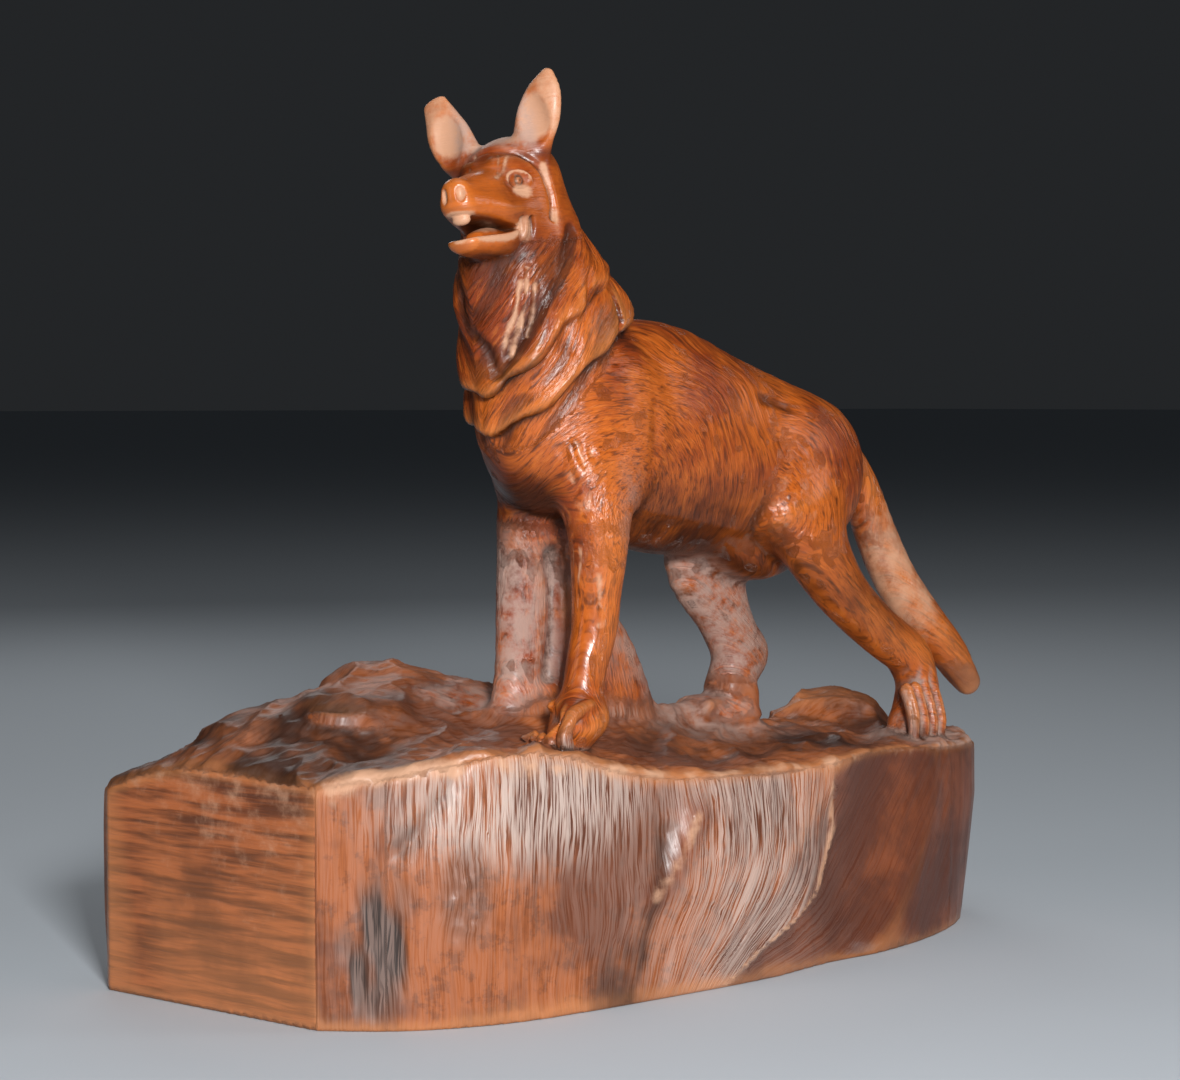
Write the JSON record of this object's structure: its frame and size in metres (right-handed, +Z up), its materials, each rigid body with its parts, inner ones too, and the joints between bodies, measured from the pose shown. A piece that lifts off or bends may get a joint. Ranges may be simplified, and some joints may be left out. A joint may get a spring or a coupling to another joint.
{
  "type": "carved wooden wolf statuette",
  "caption": "Boxwood carving of an alert wolf with pricked ears, open mouth, tiered neck ruff and hanging tail, standing on a rough rock base cut from the same block.",
  "frame": {"origin": "middle of the bounding box, on the rock's flat underside", "axes": "+X towards the tail, +Y towards the wolf's right side, +Z up"},
  "size_m": [0.32, 0.1378, 0.2878],
  "materials": {
    "boxwood": "oiled and worn smooth, half gloss"
  },
  "bodies": {
    "root": {"carved_wolf": "boxwood"}
  },
  "joints": []
}
